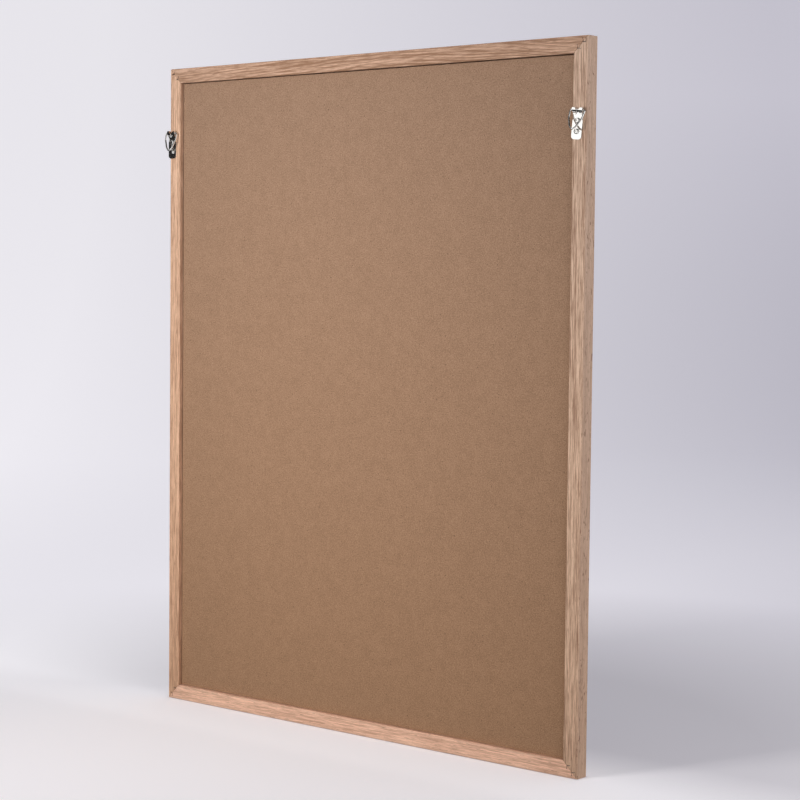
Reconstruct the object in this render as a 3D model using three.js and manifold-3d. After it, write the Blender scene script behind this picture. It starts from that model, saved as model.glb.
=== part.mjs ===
// A felt letter board with a mitred oak frame and two ring hangers on its back.
// Millimetres, +Z up. The felt faces -Y and the back faces +Y.
// The origin is the middle of the face that the board stands on.
import * as THREE from "three";
import { mergeVertices } from "three/addons/utils/BufferGeometryUtils.js";
import Module from "manifold-3d";

const wasm = await Module();
wasm.setup();

// The board
const boardWidth = 609.6;
const boardHeight = 762;

// The frame's section, an L with its foot at the front
const frameDepth = 17.5;
const backFaceWidth = 17.5;
const lipOverhang = 4;
const lipThickness = 3;
const outerEdgeRadius = 1.5;
const innerEdgeRadius = 0.5;
const mitreGap = 0.3;

// The bent steel nails that hold each mitre from behind
const vNailShares = [0.38, 0.74];
const vNailHeight = 10;
const vNailLeg = 4;
const vNailLip = 1;
const vNailThickness = 0.5;
const vNailClearance = 0.15;
const vNailSink = 0.4;

// The letter panel: a grooved core with felt pressed into its grooves
const coreThickness = 5.2;
const coreClearance = 0.5;
const groovePitch = 6.35;
const grooveWidth = 3.2;
const grooveDepth = 3;
const feltThickness = 0.8;
const feltGap = 0.2;
const glueGap = 0.2;

// The thin board that closes the back, a little loose and not quite square in its recess
const backPanelThickness = 3;
const backPanelClearance = 0.7;
const backPanelShift = 0.2;
const backPanelSkewDegrees = 0.03;

// The hangers' places, from the frame's side and top to the middle of the ring's straight bar
const leftHangerInset = 4.6;
const leftHangerDrop = 76.8;
const leftHangerSkewDegrees = 0;
const leftRingDegrees = 13;
const rightHangerInset = 9.9;
const rightHangerDrop = 75;
const rightHangerSkewDegrees = 5.3;
const rightRingDegrees = 21;
const hardwareGap = 0.1;

// A hanger's strap: a plate with two arms that go over the ring's bar and down its front
const strapThickness = 0.9;
const strapLength = 30;
const strapWidth = 12.4;
const strapWaistWidth = 10.6;
const strapWaistDrop = 9;
const strapFullDrop = 11;
const footCornerWidth = 4;
const footCornerHeight = 3.2;
const armSpan = 12.8;
const notchTopWidth = 5.6;
const notchRootWidth = 1.2;
const notchRootDrop = 0.8;
const eyeClearance = 0.15;
const eyeRise = 0.95;
const tabLeanDegrees = 36;
const tabDrop = 4.8;
const tabSpread = 5.6;
const tabEndTaper = 0.8;
const tabGap = 0.15;

// A hanger's ring: a wire bent to a straight bar, two sides and a rounded point
const wireRadius = 0.9;
const ringBarWidth = 18.2;
const ringShoulderWidth = 16.5;
const ringShoulderDrop = 8.7;
const ringPointDrop = 29;
const ringBarCornerRadius = 2.1;
const ringShoulderRadius = 4;
const ringPointRadius = 7;
const wireEndGap = 0.3;

// The screws that hold a strap
const upperScrewDrop = 10.8;
const screwSpacing = 11;
const screwHeadRadius = 2.8;
const screwHeadHeight = 1.4;
const screwHeadRim = 0.3;
const screwNeckLength = 2.4;
const screwNeckRadius = 1.4;
const threadRadius = 1.5;
const threadRootRadius = 1.05;
const threadPitch = 1.3;
const threadTurns = 7;
const screwTipLength = 2;
const strapHoleRadius = 1.8;
const pilotClearance = 0.2;
const crossArmLength = 3.2;
const crossArmWidth = 0.7;
const crossDepth = 0.9;
const upperCrossDegrees = 20;
const lowerCrossDegrees = 55;

// How finely round stretches are stepped
const edgeSteps = 4;
const curlSteps = 12;
const footSteps = 3;
const wireSides = 8;
const wireSteps = 58;
const screwSides = 14;
const holeSides = 20;
const cutOverrun = 2;

// Sizes worked out from those above
const frontFaceWidth = backFaceWidth + lipOverhang;
const frontY = -frameDepth / 2;
const backY = frameDepth / 2;
const lipBackY = frontY + lipThickness;
const feltFrontY = lipBackY + glueGap;
const coreFrontY = feltFrontY + feltThickness + feltGap;
const coreBackY = coreFrontY + coreThickness;
const backPanelFrontY = coreBackY + glueGap;
const backPanelBackY = backPanelFrontY + backPanelThickness;
const recessWidth = boardWidth - 2 * backFaceWidth;
const recessHeight = boardHeight - 2 * backFaceWidth;
const coreWidth = recessWidth - 2 * coreClearance;
const coreHeight = recessHeight - 2 * coreClearance;
const grooveCount = Math.floor((boardHeight - 2 * frontFaceWidth) / groovePitch);
const strapBackY = hardwareGap;
const strapFrontY = strapBackY + strapThickness;
const curlRadius = wireRadius + eyeClearance + strapThickness / 2;
const barY = strapFrontY + eyeClearance + wireRadius;
const headSeatY = strapFrontY + hardwareGap;
const screwShankLength = screwNeckLength + threadTurns * threadPitch + screwTipLength;
const pilotDepth = screwShankLength - headSeatY + pilotClearance;

// Where each hanger is. Seen from behind, the left one is at +X.
const leftPlace = {
  side: 1,
  inset: leftHangerInset,
  drop: leftHangerDrop,
  skewDegrees: leftHangerSkewDegrees,
  ringDegrees: leftRingDegrees,
};
const rightPlace = {
  side: -1,
  inset: rightHangerInset,
  drop: rightHangerDrop,
  skewDegrees: rightHangerSkewDegrees,
  ringDegrees: rightRingDegrees,
};

// Materials
function oak() {
  return new THREE.MeshStandardMaterial({ color: 0xc4a183, roughness: 0.62, metalness: 0 });
}
function brownFibreboard() {
  return new THREE.MeshStandardMaterial({ color: 0x93735a, roughness: 0.85, metalness: 0 });
}
function greyFibreboard() {
  return new THREE.MeshStandardMaterial({ color: 0x8a7560, roughness: 0.9, metalness: 0 });
}
function blackFelt() {
  return new THREE.MeshStandardMaterial({ color: 0x1d1d1f, roughness: 0.97, metalness: 0 });
}
function brightNickel() {
  return new THREE.MeshStandardMaterial({ color: 0xd8d6d0, roughness: 0.2, metalness: 1 });
}
function plainSteel() {
  return new THREE.MeshStandardMaterial({ color: 0x9a9a98, roughness: 0.45, metalness: 1 });
}

// Shapes and solids
function shapeOf(points) {
  return new THREE.Shape(points.map(([u, v]) => new THREE.Vector2(u, v)));
}

// An outline in depth and height, [y, z], drawn out along X about the middle.
function drawnAlongX(outline, length) {
  const geometry = new THREE.ExtrudeGeometry(shapeOf(outline), { depth: length, bevelEnabled: false });
  geometry.translate(0, 0, -length / 2);
  const [x, y, z] = [0, 1, 2].map((axis) => new THREE.Vector3().setComponent(axis, 1));
  return geometry.applyMatrix4(new THREE.Matrix4().makeBasis(y, z, x));
}

// An outline in width and height, [x, z], from one depth to another.
function drawnThroughDepth(outline, nearY, farY) {
  const geometry = new THREE.ExtrudeGeometry(shapeOf(outline), { depth: farY - nearY, bevelEnabled: false });
  geometry.rotateX(Math.PI / 2);
  return geometry.translate(0, farY, 0);
}

function solidOf(geometry) {
  const bare = geometry.clone();
  bare.deleteAttribute("normal");
  bare.deleteAttribute("uv");
  const merged = mergeVertices(bare);
  const vertProperties = new Float32Array(merged.attributes.position.array);
  const triVerts = new Uint32Array(merged.index.array);
  return new wasm.Manifold(new wasm.Mesh({ numProp: 3, vertProperties, triVerts }));
}

function geometryOf(solid) {
  const { vertProperties, triVerts } = solid.getMesh();
  const geometry = new THREE.BufferGeometry();
  geometry.setAttribute("position", new THREE.BufferAttribute(new Float32Array(vertProperties), 3));
  geometry.setIndex(new THREE.BufferAttribute(new Uint32Array(triVerts), 1));
  geometry.computeVertexNormals();
  return geometry;
}

function piece(name, geometry, material) {
  const mesh = new THREE.Mesh(geometry, material);
  mesh.name = name;
  return mesh;
}

// The points of an arc, from one angle to another in degrees.
function arcPoints(centreU, centreV, radius, fromDegrees, toDegrees, steps) {
  return Array.from({ length: steps + 1 }, (_, i) => {
    const angle = THREE.MathUtils.degToRad(fromDegrees + ((toDegrees - fromDegrees) * i) / steps);
    return [centreU + radius * Math.cos(angle), centreV + radius * Math.sin(angle)];
  });
}

// A band of even width along a bent line, lengthened at both ends.
function bandOutline(line, halfWidth, endOverrun) {
  const points = line.map(([u, v]) => new THREE.Vector2(u, v));
  const directions = points.slice(1).map((point, i) => point.clone().sub(points[i]).normalize());
  const last = points.length - 1;
  points[0].addScaledVector(directions[0], -endOverrun);
  points[last].addScaledVector(directions[last - 1], endOverrun);
  const sideOffsets = points.map((_, i) => {
    const before = directions[Math.max(i - 1, 0)];
    const after = directions[Math.min(i, last - 1)];
    const across = new THREE.Vector2(-before.y - after.y, before.x + after.x).normalize();
    return across.multiplyScalar(halfWidth / across.dot(new THREE.Vector2(-before.y, before.x)));
  });
  const leftSide = points.map((point, i) => point.clone().add(sideOffsets[i]).toArray());
  const rightSide = points.map((point, i) => point.clone().sub(sideOffsets[i]).toArray());
  return [...leftSide, ...rightSide.reverse()];
}

// The frame
// A member's section, [y, z], with z = 0 at its outer face and negative towards the panel.
function frameSection() {
  const corner = (y, z, radius, quarter) => arcPoints(y, z, radius, quarter * 90, quarter * 90 + 90, edgeSteps);
  return [
    ...corner(backY - outerEdgeRadius, -outerEdgeRadius, outerEdgeRadius, 0),
    ...corner(frontY + outerEdgeRadius, -outerEdgeRadius, outerEdgeRadius, 1),
    ...corner(frontY + innerEdgeRadius, innerEdgeRadius - frontFaceWidth, innerEdgeRadius, 2),
    [lipBackY, -frontFaceWidth],
    [lipBackY, -backFaceWidth],
    ...corner(backY - innerEdgeRadius, innerEdgeRadius - backFaceWidth, innerEdgeRadius, 3),
  ];
}

// The outline, [x, z], that a member of this length keeps between its two mitres.
function mitredOutline(length) {
  const halfAt = (inward) => length / 2 - mitreGap / Math.SQRT2 - inward;
  const [outer, inner] = [-cutOverrun, frontFaceWidth + cutOverrun];
  return [
    [-halfAt(outer), -outer],
    [halfAt(outer), -outer],
    [halfAt(inner), -inner],
    [-halfAt(inner), -inner],
  ];
}

// A corner nail's bent line, as distances inward from the corner's two outer faces.
function vNailLine(share) {
  const bend = share * backFaceWidth;
  const lipReach = vNailLip / Math.SQRT2;
  const legEnd = bend - vNailLeg + lipReach;
  return [
    [bend + lipReach, legEnd - lipReach],
    [bend, legEnd],
    [bend, bend],
    [legEnd, bend],
    [legEnd - lipReach, bend + lipReach],
  ];
}

function vNailSlots(length) {
  return [-1, 1].flatMap((end) =>
    vNailShares.map((share) => {
      const band = bandOutline(vNailLine(share), vNailThickness / 2 + vNailClearance, vNailClearance);
      const outline = band.map(([along, inward]) => [end * (length / 2 - along), -inward]);
      return drawnThroughDepth(outline, backY - vNailSink - vNailHeight - vNailClearance, backY + cutOverrun);
    })
  );
}

// Holes for a strap's two screws, in a stile whose length runs along X.
function pilotHoles({ side, inset, drop, skewDegrees }) {
  const skew = THREE.MathUtils.degToRad(skewDegrees);
  return [0, 1].map((i) => {
    const hole = new THREE.CylinderGeometry(
      threadRadius + pilotClearance,
      threadRadius + pilotClearance,
      pilotDepth + cutOverrun,
      holeSides
    );
    const reach = upperScrewDrop + i * screwSpacing;
    const screwDrop = drop + reach * Math.cos(skew);
    const screwInset = inset - side * reach * Math.sin(skew);
    const holeY = backY + (cutOverrun - pilotDepth) / 2;
    return hole.translate(side * (screwDrop - boardHeight / 2), holeY, -screwInset);
  });
}

function frameMember(name, length, cuts) {
  const section = solidOf(drawnAlongX(frameSection(), length + cutOverrun));
  const mitres = drawnThroughDepth(mitredOutline(length), frontY - cutOverrun, backY + cutOverrun);
  const kept = section.intersect(solidOf(mitres));
  const cut = [...vNailSlots(length), ...cuts].reduce((solid, tool) => solid.subtract(solidOf(tool)), kept);
  return piece(name, geometryOf(cut), oak());
}

function rail(name, side) {
  const member = frameMember(name, boardWidth, []);
  member.position.z = side > 0 ? boardHeight : 0;
  member.rotation.y = side > 0 ? 0 : Math.PI;
  return member;
}

function stile(name, place) {
  const member = frameMember(name, boardHeight, pilotHoles(place));
  member.position.set((place.side * boardWidth) / 2, 0, boardHeight / 2);
  member.rotation.y = (place.side * Math.PI) / 2;
  return member;
}

function vNail(name, side, level, share) {
  const band = bandOutline(vNailLine(share), vNailThickness / 2, 0);
  const outline = band.map(([across, down]) => [-side * across, -level * down]);
  const nailBackY = backY - vNailSink;
  const mesh = piece(name, drawnThroughDepth(outline, nailBackY - vNailHeight, nailBackY), plainSteel());
  mesh.position.set((side * boardWidth) / 2, 0, level > 0 ? boardHeight : 0);
  return mesh;
}

function frame() {
  const group = new THREE.Group();
  group.add(rail("frame_top_rail", 1), rail("frame_bottom_rail", -1));
  group.add(stile("frame_left_stile", leftPlace), stile("frame_right_stile", rightPlace));
  for (const [levelName, level] of [["top", 1], ["bottom", -1]]) {
    for (const [sideName, side] of [["left", 1], ["right", -1]]) {
      vNailShares.forEach((share, i) => {
        const place = ["outer", "inner"][i];
        group.add(vNail(`corner_nail_${levelName}_${sideName}_${place}`, side, level, share));
      });
    }
  }
  return group;
}

// The letter panel
// One face of the grooved panel, [y, z] from bottom to top, dipping to floorY at each groove.
function groovedFace(faceY, floorY, width) {
  const points = [[faceY, -coreHeight / 2]];
  for (let i = 0; i < grooveCount; i += 1) {
    const middle = (i - (grooveCount - 1) / 2) * groovePitch;
    points.push([faceY, middle - width / 2], [floorY, middle - width / 2]);
    points.push([floorY, middle + width / 2], [faceY, middle + width / 2]);
  }
  return [...points, [faceY, coreHeight / 2]];
}

function letterPanelCore() {
  const face = groovedFace(coreFrontY, coreFrontY + grooveDepth, grooveWidth);
  const outline = [...face, [coreBackY, coreHeight / 2], [coreBackY, -coreHeight / 2]];
  return piece("letter_panel_core", drawnAlongX(outline, coreWidth), greyFibreboard());
}

function feltCover() {
  const backFaceY = feltFrontY + feltThickness;
  const backFloorY = coreFrontY + grooveDepth - feltGap;
  const backWidth = grooveWidth - 2 * feltGap;
  const front = groovedFace(feltFrontY, backFloorY - feltThickness, backWidth - 2 * feltThickness);
  const back = groovedFace(backFaceY, backFloorY, backWidth);
  return piece("felt_cover", drawnAlongX([...front, ...back.reverse()], coreWidth), blackFelt());
}

function backPanel() {
  const width = recessWidth - 2 * backPanelClearance;
  const height = recessHeight - 2 * backPanelClearance;
  const geometry = new THREE.BoxGeometry(width, backPanelThickness, height);
  const mesh = piece("back_panel", geometry, brownFibreboard());
  mesh.position.set(-backPanelShift, (backPanelFrontY + backPanelBackY) / 2, -backPanelShift);
  mesh.rotation.y = THREE.MathUtils.degToRad(-backPanelSkewDegrees);
  return mesh;
}

function panels() {
  const group = new THREE.Group();
  group.position.z = boardHeight / 2;
  group.add(feltCover(), letterPanelCore(), backPanel());
  return group;
}

// The hangers. A strap's own x runs to +X and its z up from the ring's bar.
// The middle notch narrows from the top of the curl to its root, and this is half its width at a height.
function halfNotchAt(z) {
  const share = (z + notchRootDrop) / (eyeRise + curlRadius + notchRootDrop);
  return THREE.MathUtils.lerp(notchRootWidth, notchTopWidth, share) / 2;
}

// The right half of the plate's outline, [x, z], from the notch's root to the foot.
function plateHalf() {
  const foot = arcPoints(0, 0, 1, 0, -90, footSteps).map(([across, down]) => [
    strapWidth / 2 - footCornerWidth * (1 - across),
    footCornerHeight * (1 + down) - strapLength,
  ]);
  return [
    [notchRootWidth / 2, -notchRootDrop],
    [halfNotchAt(0), 0],
    [armSpan / 2, 0],
    [strapWaistWidth / 2, -strapWaistDrop],
    [strapWidth / 2, -strapFullDrop],
    ...foot,
  ];
}

// An arm's outline, [x, z], as the two sides of its curl and tab are cut.
function armHalf() {
  const topZ = eyeRise + curlRadius + strapThickness;
  return [
    [halfNotchAt(topZ), topZ],
    [armSpan / 2, topZ],
    [armSpan / 2, -notchRootDrop],
    [armSpan / 2 - tabEndTaper, -tabDrop],
    [tabSpread / 2, -tabDrop],
    [notchRootWidth / 2, -notchRootDrop],
  ];
}

// The curl's section, [y, z]: up from the plate, over the bar, down its front and flat on the plate.
function curlSection() {
  const lean = THREE.MathUtils.degToRad(tabLeanDegrees);
  const plateY = (strapBackY + strapFrontY) / 2;
  const tabY = strapFrontY + tabGap + strapThickness / 2;
  const leanLength = (curlRadius * Math.cos(lean) + barY - tabY) / Math.sin(lean);
  const line = [
    [plateY, -notchRootDrop],
    ...arcPoints(barY, eyeRise, curlRadius, 180, 0, curlSteps),
    ...arcPoints(barY, 0, curlRadius, 0, -tabLeanDegrees, edgeSteps),
    [tabY, -curlRadius * Math.sin(lean) - leanLength * Math.cos(lean)],
    [tabY, -tabDrop - cutOverrun],
  ];
  return bandOutline(line, strapThickness / 2, 0);
}

function strap() {
  const half = plateHalf();
  const mirrored = half.map(([x, z]) => [-x, z]).reverse();
  let solid = solidOf(drawnThroughDepth([...half, ...mirrored], strapBackY, strapFrontY));
  const curl = solidOf(drawnAlongX(curlSection(), armSpan + cutOverrun));
  for (const side of [-1, 1]) {
    const outline = armHalf().map(([x, z]) => [side * x, z]);
    const arm = drawnThroughDepth(outline, strapBackY - cutOverrun, barY + curlRadius + cutOverrun);
    solid = solid.add(curl.intersect(solidOf(arm)));
  }
  for (const i of [0, 1]) {
    const hole = new THREE.CylinderGeometry(strapHoleRadius, strapHoleRadius, cutOverrun + strapFrontY, holeSides);
    const holeZ = -upperScrewDrop - i * screwSpacing;
    solid = solid.subtract(solidOf(hole.translate(0, strapFrontY / 2, holeZ)));
  }
  return geometryOf(solid);
}

// Straight runs between the given corners, with each corner rounded by an arc of its own radius.
function roundedWire(start, corners, end) {
  const path = new THREE.CurvePath();
  let from = start;
  corners.forEach(({ point, radius }, i) => {
    const next = i + 1 < corners.length ? corners[i + 1].point : end;
    const arriving = point.clone().sub(from).normalize();
    const leaving = next.clone().sub(point).normalize();
    const halfTurn = arriving.angleTo(leaving) / 2;
    const reach = radius * Math.tan(halfTurn);
    const arcStart = point.clone().addScaledVector(arriving, -reach);
    const arcEnd = point.clone().addScaledVector(leaving, reach);
    path.add(new THREE.LineCurve3(from, arcStart));
    path.add(new THREE.QuadraticBezierCurve3(arcStart, point, arcEnd));
    from = arcEnd;
  });
  path.add(new THREE.LineCurve3(from, end));
  return path;
}

function ring() {
  const corner = (x, z, radius) => ({ point: new THREE.Vector3(x, 0, z), radius });
  const path = roundedWire(
    new THREE.Vector3(wireEndGap / 2, 0, 0),
    [
      corner(ringBarWidth / 2, 0, ringBarCornerRadius),
      corner(ringShoulderWidth / 2, -ringShoulderDrop, ringShoulderRadius),
      corner(0, -ringPointDrop, ringPointRadius),
      corner(-ringShoulderWidth / 2, -ringShoulderDrop, ringShoulderRadius),
      corner(-ringBarWidth / 2, 0, ringBarCornerRadius),
    ],
    new THREE.Vector3(-wireEndGap / 2, 0, 0)
  );
  const section = shapeOf(arcPoints(0, 0, wireRadius, 0, 360, wireSides).slice(0, wireSides));
  return new THREE.ExtrudeGeometry(section, { steps: wireSteps, extrudePath: path });
}

// A screw that points to -Y, with the underside of its head at y = 0.
function screw(turnDegrees) {
  const dome = arcPoints(0, 0, 1, 0, 90, edgeSteps).map(([across, up]) => [
    screwHeadRadius * across,
    screwHeadRim + (screwHeadHeight - screwHeadRim) * up,
  ]);
  const thread = Array.from({ length: threadTurns }, (_, i) => {
    const top = -screwNeckLength - i * threadPitch;
    return [
      [threadRadius, top - threadPitch / 2],
      [threadRootRadius, top - threadPitch],
    ];
  }).flat();
  const profile = [
    [0, -screwShankLength],
    ...thread.reverse(),
    [threadRootRadius, -screwNeckLength],
    [screwNeckRadius, -screwNeckLength],
    [screwNeckRadius, 0],
    [screwHeadRadius, 0],
    ...dome.slice(0, edgeSteps),
    [0, screwHeadHeight],
  ];
  const body = new THREE.LatheGeometry(profile.map(([r, y]) => new THREE.Vector2(r, y)), screwSides);
  let solid = solidOf(body);
  for (const quarter of [0, 1]) {
    const arm = new THREE.BoxGeometry(crossArmLength, 2 * crossDepth, crossArmWidth);
    arm.rotateY(THREE.MathUtils.degToRad(turnDegrees + quarter * 90));
    solid = solid.subtract(solidOf(arm.translate(0, screwHeadHeight, 0)));
  }
  return geometryOf(solid);
}

function hanger(name, { side, inset, drop, skewDegrees, ringDegrees }) {
  const group = new THREE.Group();
  group.position.set(side * (boardWidth / 2 - inset), backY, boardHeight - drop);
  group.rotation.y = -THREE.MathUtils.degToRad(skewDegrees);
  group.add(piece(`${name}_strap`, strap(), brightNickel()));
  [upperCrossDegrees, lowerCrossDegrees].forEach((turn, i) => {
    const mesh = piece(`${name}_${["upper", "lower"][i]}_screw`, screw(turn), brightNickel());
    mesh.position.set(0, headSeatY, -upperScrewDrop - i * screwSpacing);
    group.add(mesh);
  });
  const wire = piece(`${name}_ring`, ring(), brightNickel());
  wire.position.y = barY;
  wire.rotation.x = THREE.MathUtils.degToRad(ringDegrees);
  group.add(wire);
  return group;
}

const letterBoard = new THREE.Group();
letterBoard.add(frame(), panels(), hanger("left_hanger", leftPlace), hanger("right_hanger", rightPlace));

export default letterBoard;
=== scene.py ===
import math

import bmesh
import bpy
from mathutils import Matrix, Vector


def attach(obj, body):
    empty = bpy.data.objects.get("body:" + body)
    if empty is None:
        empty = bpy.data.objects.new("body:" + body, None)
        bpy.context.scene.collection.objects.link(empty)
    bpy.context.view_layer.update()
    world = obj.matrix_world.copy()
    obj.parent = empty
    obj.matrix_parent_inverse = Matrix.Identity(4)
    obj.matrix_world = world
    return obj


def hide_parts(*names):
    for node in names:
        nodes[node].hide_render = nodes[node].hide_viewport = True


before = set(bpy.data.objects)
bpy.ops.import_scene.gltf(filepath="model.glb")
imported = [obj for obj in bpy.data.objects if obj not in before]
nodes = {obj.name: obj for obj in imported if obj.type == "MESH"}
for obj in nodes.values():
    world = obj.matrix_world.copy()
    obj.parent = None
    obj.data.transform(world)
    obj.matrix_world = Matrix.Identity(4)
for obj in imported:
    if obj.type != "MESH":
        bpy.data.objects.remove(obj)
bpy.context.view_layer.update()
MM = 0.001
WHITE = (1, 1, 1, 1)

# Places this near, in millimetres, count as the same place
NEAR = 0.01
TINY = 0.001

# The board's own sizes, in millimetres
BOARD_WIDTH = 609.6
BOARD_HEIGHT = 762
BACK_Y = 8.75
PANEL_WIDTH = 573.6
PANEL_HEIGHT = 726

# Felt on the grooved core
FELT_FRONT_Y = -5.55
FELT_THICKNESS = 0.8
GROOVE_PITCH = 6.35
GROOVE_COUNT = 113
SLOT_WIDTH = 1.2
SLOT_DEPTH = 3
RIB_ROUNDING = 1.35
SLOT_ROUNDING = 0.3
FELT_COLUMNS = 20
RIB_UNEVENNESS = 0.5
NAP_UNEVENNESS = 0.16
UNEVENNESS_WIDTH = 45
FELT_SMOOTHING = 60

# Where each ring's bar is on the board, and the degrees that its strap and its ring are turned by
HANGERS = {
    "left": {"x": 300.2, "z": 685.2, "skew": 0.0, "ring": 13.0},
    "right": {"x": -294.9, "z": 687.0, "skew": 5.3, "ring": 21.0},
}

# A strap, measured from the middle of the bar, and along Y from the frame's back face.
# FULL, WAIST and the notch's root and top are heights with half widths.
BAR_Y = 2.05
PLATE_Y = 0.55
STRAP_THICKNESS = 0.9
STRAP_LENGTH = 30
FOOT_HALF = 6.35
FOOT_CORNER = (4, 3.2)
FOOT_STEPS = 6
WAIST = (-9, 5.7)
FULL = (-11, 6.35)
ARM_HALF = 6.4
NOTCH_ROOT = (-0.8, 0.6)
NOTCH_TOP = (2.45, 3.6)
EYE_RISE = 0.95
CURL_RADIUS = 1.5
CURL_STEP = 9
TAB_LEAN = 36
TAB_END = (-4.8, 2.8, 5.6)
TAB_Y = 1.6
STRAP_EDGE = 0.2
STRAP_SMOOTHING = 12
HOLE_RADIUS = 1.8
ROUND_SIDES = 40
ROUND_SMOOTHING = 40

# The ring's wire, and its corners going round: how far across and along, and the bend's radius
WIRE_RADIUS = 0.9
RING_END = 0.15
RING_CORNERS = (
    (9.1, 0, 2.1),
    (8.25, -8.7, 4),
    (0, -29, 7),
    (-8.25, -8.7, 4),
    (-9.1, 0, 2.1),
)

# A hanger's screws
SCREW_DROPS = (10.8, 21.8)
CROSS_DEGREES = (20, 55)
SCREW_SEAT = 1.1
HEAD = {"radius": 2.8, "height": 1.4, "rim": 0.3, "easing": 0.12}
PAN_ROUNDING = 0.45
PAN_STEPS = 12
NECK = {"length": 2.4, "radius": 1.4}
SHOULDER = 0.01
THREAD = {"radius": 1.5, "root": 1.05, "pitch": 1.3, "turns": 7}
TIP = {"length": 2, "radius": 0.04}
CROSS = {"length": 3.2, "width": 0.7, "depth": 0.9, "taper": 0.62}

# Oak
OAK_WARMTH = (0.94, 0.87, 0.8, 1)
WARMTH_HEIGHTS = (0.05, 0.7)
RING_WIDTH = 0.0034
OUTER_FACE = (-0.0012, -0.0004)
PORE_COLOR = (0.18, 0.09, 0.05, 1)
RAY_COLOR = (0.2, 0.1, 0.06, 1)

# The studio in metres, and the way to the photo's left along the floor
FLOOR_RADIUS = 3.4
FLOOR_SIDES = 96
SWEEP_RADIUS = 2.4
SWEEP_STEPS = 12
WALL_HEIGHT = 3.0
LEFT_IN_PHOTO = (0.766, 0.643)
AIR_BEHIND = (0.16, 0.16, 0.17, 1)
AIR_IN_FRONT = (0.5, 0.5, 0.53, 1)
# Colours of the floor and wall's glow, which is painted light and shade: shade behind the board, lit
# floor, a pool of light at its foot, the dim wall low and high, and the bright side.
BOARD_SHADOW_GLOW = (0.11, 0.105, 0.125, 1)
LIT_GLOW = (0.3, 0.295, 0.31, 1)
FOOT_LIGHT_GLOW = (0.44, 0.435, 0.45, 1)
LOW_GLOW = (0.21, 0.205, 0.255, 1)
HIGH_GLOW = (0.37, 0.36, 0.42, 1)
LEFT_GLOW = (0.585, 0.575, 0.605, 1)

# What the metal mirrors: bright patches of a dark room, and the pale floor
PATCH_EDGE = 0.05
BRIGHT_PATCHES = ((0.62, 0.3, -0.1, 0.33), (0.62, 0.51, 0.1, 1.1), (-0.66, -1.1, -0.05, 0.5))
FLOOR_PATCH = (0.2, -1.1, -1.1, -0.27)
BRIGHT = (1.3, 1.28, 1.26, 1)
DARK_ROOM = (0.025, 0.024, 0.024, 1)
MIRRORED_FLOOR = (0.9, 0.885, 0.9, 1)

# The photo's camera, fitted to the board's edges
CAMERA_LENS = 92.074
CAMERA_SPOT = (-1.50641, 1.72101, 0.51643)
CAMERA_DEGREES = (86.5447, -0.57723, -139.79674)


def only(piece):
    """Selects this piece alone and makes it the active one."""
    bpy.ops.object.select_all(action="DESELECT")
    bpy.context.view_layer.objects.active = piece
    piece.select_set(True)


def begin_editing(piece):
    only(piece)
    bpy.ops.object.mode_set(mode="EDIT")
    bpy.ops.mesh.select_mode(type="VERT")


def end_editing():
    bpy.ops.object.mode_set(mode="OBJECT")


def pick(piece, wanted):
    """In edit mode, selects the vertices whose place is wanted, with the edges and faces between them."""
    bpy.ops.mesh.select_all(action="DESELECT")
    mesh = bmesh.from_edit_mesh(piece.data)
    for vertex in mesh.verts:
        if wanted(vertex.co / MM):
            vertex.select_set(True)
    mesh.select_flush(True)
    bmesh.update_edit_mesh(piece.data)


def pull(x=0.0, y=0.0, z=0.0):
    """Extrudes what is selected by a distance in millimetres."""
    bpy.ops.mesh.extrude_region_move(TRANSFORM_OT_translate={"value": (x * MM, y * MM, z * MM)})


def resize_about(share, centre):
    bpy.ops.transform.resize(value=share, center_override=centre)


def upright_plane(centre, width, height):
    """A plane that faces along Y, in edit mode."""
    bpy.ops.object.select_all(action="DESELECT")
    spot = [value * MM for value in centre]
    bpy.ops.mesh.primitive_plane_add(size=1, location=spot, rotation=(math.radians(90), 0, 0))
    piece = bpy.context.object
    piece.scale = (width * MM, height * MM, 1)
    bpy.ops.object.transform_apply(location=True, rotation=True, scale=True)
    begin_editing(piece)
    return piece


def use(piece, kind, **settings):
    """Adds a modifier and applies it."""
    only(piece)
    modifier = piece.modifiers.new(kind.title(), kind)
    for name, value in settings.items():
        setattr(modifier, name, value)
    bpy.ops.object.modifier_apply(modifier=modifier.name)


def cut(piece, tool):
    use(piece, "BOOLEAN", operation="DIFFERENCE", object=tool, solver="EXACT")
    bpy.data.objects.remove(tool)


def settle(piece, smooth_degrees):
    """Puts the piece's place into its mesh, closes doubled points, turns faces out and smooths."""
    only(piece)
    bpy.ops.object.transform_apply(location=True, rotation=True, scale=True)
    begin_editing(piece)
    bpy.ops.mesh.select_all(action="SELECT")
    bpy.ops.mesh.remove_doubles(threshold=TINY * MM)
    bpy.ops.mesh.normals_make_consistent(inside=False)
    end_editing()
    bpy.ops.object.shade_smooth_by_angle(angle=math.radians(smooth_degrees))


def copy_of(piece):
    made = piece.copy()
    made.data = piece.data.copy()
    bpy.context.scene.collection.objects.link(made)
    return made


def finish(piece, name, material, slot, body, *replaced):
    piece.name = piece.data.name = name
    piece.data.materials.clear()
    piece.data.materials.append(material)
    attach(piece, body)
    if replaced:
        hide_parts(*replaced)


# Materials
def node(tree, kind, inputs=None, **settings):
    made = tree.nodes.new(kind)
    for name, value in settings.items():
        setattr(made, name, value)
    for name, value in (inputs or {}).items():
        if isinstance(value, bpy.types.NodeSocket):
            tree.links.new(value, made.inputs[name])
        else:
            made.inputs[name].default_value = value
    return made


def maths(tree, operation, first, second=0.0, third=0.0):
    values = {0: first, 1: second, 2: third}
    return node(tree, "ShaderNodeMath", values, operation=operation).outputs[0]


def noise(tree, vector, scale, detail=2.0, roughness=0.5, distortion=0.0):
    inputs = {"Vector": vector, "Scale": scale, "Detail": detail}
    inputs.update({"Roughness": roughness, "Distortion": distortion})
    return node(tree, "ShaderNodeTexNoise", inputs).outputs["Fac"]


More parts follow.
